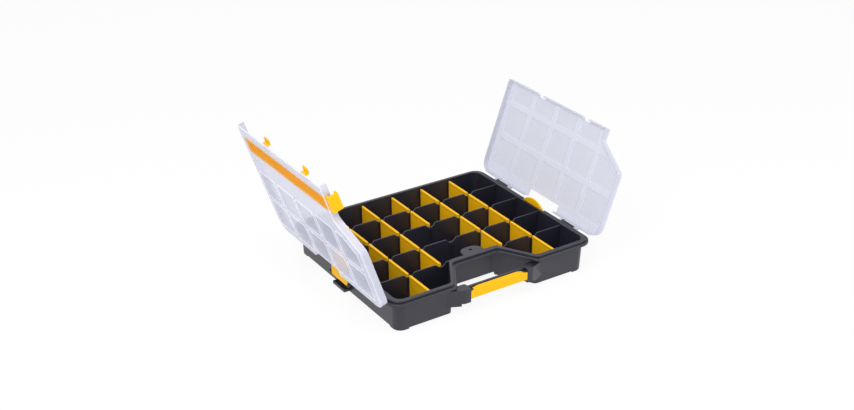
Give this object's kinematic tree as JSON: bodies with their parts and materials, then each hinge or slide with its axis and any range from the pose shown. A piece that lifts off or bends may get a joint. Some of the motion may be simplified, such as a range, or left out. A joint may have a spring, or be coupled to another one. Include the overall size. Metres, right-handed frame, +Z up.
{
  "type": "storage organizer box",
  "caption": "Flat black compartment case with a recessed carrying handle, lift-out yellow dividers, two clear lids hinged along the sides, a sliding lock bar and side latches.",
  "frame": {"origin": "on the flat pad under the tray's raised floor, below the middle of the compartment grid", "axes": "+X along the handle side to the right, +Y from the handle to the back, +Z up"},
  "size_m": [0.516, 0.3126, 0.2473],
  "materials": {
    "black_plastic": "fine satin moulded black",
    "yellow_plastic": "smooth yellow moulding",
    "clear_plastic": "clear moulding with a slight haze"
  },
  "bodies": {
    "tray": {"tray": "black_plastic", "tray_floor": "black_plastic", "cross_wall_back": "black_plastic", "cross_wall_second": "black_plastic", "cross_wall_middle": "black_plastic", "handle_grip": "yellow_plastic"},
    "left_lid": {"left_lid": "clear_plastic"},
    "right_lid": {"right_lid": "clear_plastic"},
    "lock_bar": {"lock_bar": "yellow_plastic"},
    "left_side_latch": {"left_side_latch": "yellow_plastic"},
    "right_side_latch": {"right_side_latch": "yellow_plastic"},
    "divider_back_1": {"divider_back_1": "yellow_plastic"},
    "divider_back_2": {"divider_back_2": "yellow_plastic"},
    "divider_back_3": {"divider_back_3": "yellow_plastic"},
    "divider_back_4": {"divider_back_4": "yellow_plastic"},
    "divider_back_5": {"divider_back_5": "yellow_plastic"},
    "divider_second_1": {"divider_second_1": "yellow_plastic"},
    "divider_second_2": {"divider_second_2": "yellow_plastic"},
    "divider_second_3": {"divider_second_3": "yellow_plastic"},
    "divider_second_4": {"divider_second_4": "yellow_plastic"},
    "divider_second_5": {"divider_second_5": "yellow_plastic"},
    "divider_middle_1": {"divider_middle_1": "yellow_plastic"},
    "divider_middle_2": {"divider_middle_2": "yellow_plastic"},
    "divider_middle_4": {"divider_middle_4": "yellow_plastic"},
    "divider_middle_5": {"divider_middle_5": "yellow_plastic"},
    "divider_fourth_1": {"divider_fourth_1": "yellow_plastic"},
    "divider_fourth_2": {"divider_fourth_2": "yellow_plastic"},
    "divider_fourth_4": {"divider_fourth_4": "yellow_plastic"},
    "divider_fourth_5": {"divider_fourth_5": "yellow_plastic"},
    "divider_front_1": {"divider_front_1": "yellow_plastic"},
    "divider_front_5": {"divider_front_5": "yellow_plastic"}
  },
  "joints": [
    {"name": "left_lid_hinge", "type": "hinge", "parent": "tray", "child": "left_lid", "pos_m": [-0.1855, 0, 0.0495], "axis": [0, -1, 0], "range_deg": [-109.25, 0]},
    {"name": "right_lid_hinge", "type": "hinge", "parent": "tray", "child": "right_lid", "pos_m": [0.1855, 0, 0.0495], "axis": [0, 1, 0], "range_deg": [-109.25, 0]},
    {"name": "lock_bar_slide", "type": "slide", "parent": "left_lid", "child": "lock_bar", "axis": [0, 1, 0], "range_m": [0, 0.004]},
    {"name": "left_latch_pivot", "type": "hinge", "parent": "tray", "child": "left_side_latch", "pos_m": [-0.1775, 0.007, 0.019], "axis": [0, -1, 0], "range_deg": [0, 25]},
    {"name": "right_latch_pivot", "type": "hinge", "parent": "tray", "child": "right_side_latch", "pos_m": [0.1775, -0.007, 0.019], "axis": [0, 1, 0], "range_deg": [0, 25]},
    {"name": "divider_back_1_lift", "type": "slide", "parent": "tray", "child": "divider_back_1", "axis": [0, 0, 1], "range_m": [0, 0.045]},
    {"name": "divider_back_2_lift", "type": "slide", "parent": "tray", "child": "divider_back_2", "axis": [0, 0, 1], "range_m": [0, 0.045]},
    {"name": "divider_back_3_lift", "type": "slide", "parent": "tray", "child": "divider_back_3", "axis": [0, 0, 1], "range_m": [0, 0.045]},
    {"name": "divider_back_4_lift", "type": "slide", "parent": "tray", "child": "divider_back_4", "axis": [0, 0, 1], "range_m": [0, 0.045]},
    {"name": "divider_back_5_lift", "type": "slide", "parent": "tray", "child": "divider_back_5", "axis": [0, 0, 1], "range_m": [0, 0.045]},
    {"name": "divider_second_1_lift", "type": "slide", "parent": "tray", "child": "divider_second_1", "axis": [0, 0, 1], "range_m": [0, 0.045]},
    {"name": "divider_second_2_lift", "type": "slide", "parent": "tray", "child": "divider_second_2", "axis": [0, 0, 1], "range_m": [0, 0.045]},
    {"name": "divider_second_3_lift", "type": "slide", "parent": "tray", "child": "divider_second_3", "axis": [0, 0, 1], "range_m": [0, 0.045]},
    {"name": "divider_second_4_lift", "type": "slide", "parent": "tray", "child": "divider_second_4", "axis": [0, 0, 1], "range_m": [0, 0.045]},
    {"name": "divider_second_5_lift", "type": "slide", "parent": "tray", "child": "divider_second_5", "axis": [0, 0, 1], "range_m": [0, 0.045]},
    {"name": "divider_middle_1_lift", "type": "slide", "parent": "tray", "child": "divider_middle_1", "axis": [0, 0, 1], "range_m": [0, 0.045]},
    {"name": "divider_middle_2_lift", "type": "slide", "parent": "tray", "child": "divider_middle_2", "axis": [0, 0, 1], "range_m": [0, 0.045]},
    {"name": "divider_middle_4_lift", "type": "slide", "parent": "tray", "child": "divider_middle_4", "axis": [0, 0, 1], "range_m": [0, 0.045]},
    {"name": "divider_middle_5_lift", "type": "slide", "parent": "tray", "child": "divider_middle_5", "axis": [0, 0, 1], "range_m": [0, 0.045]},
    {"name": "divider_fourth_1_lift", "type": "slide", "parent": "tray", "child": "divider_fourth_1", "axis": [0, 0, 1], "range_m": [0, 0.045]},
    {"name": "divider_fourth_2_lift", "type": "slide", "parent": "tray", "child": "divider_fourth_2", "axis": [0, 0, 1], "range_m": [0, 0.045]},
    {"name": "divider_fourth_4_lift", "type": "slide", "parent": "tray", "child": "divider_fourth_4", "axis": [0, 0, 1], "range_m": [0, 0.045]},
    {"name": "divider_fourth_5_lift", "type": "slide", "parent": "tray", "child": "divider_fourth_5", "axis": [0, 0, 1], "range_m": [0, 0.045]},
    {"name": "divider_front_1_lift", "type": "slide", "parent": "tray", "child": "divider_front_1", "axis": [0, 0, 1], "range_m": [0, 0.045]},
    {"name": "divider_front_5_lift", "type": "slide", "parent": "tray", "child": "divider_front_5", "axis": [0, 0, 1], "range_m": [0, 0.045]}
  ]
}
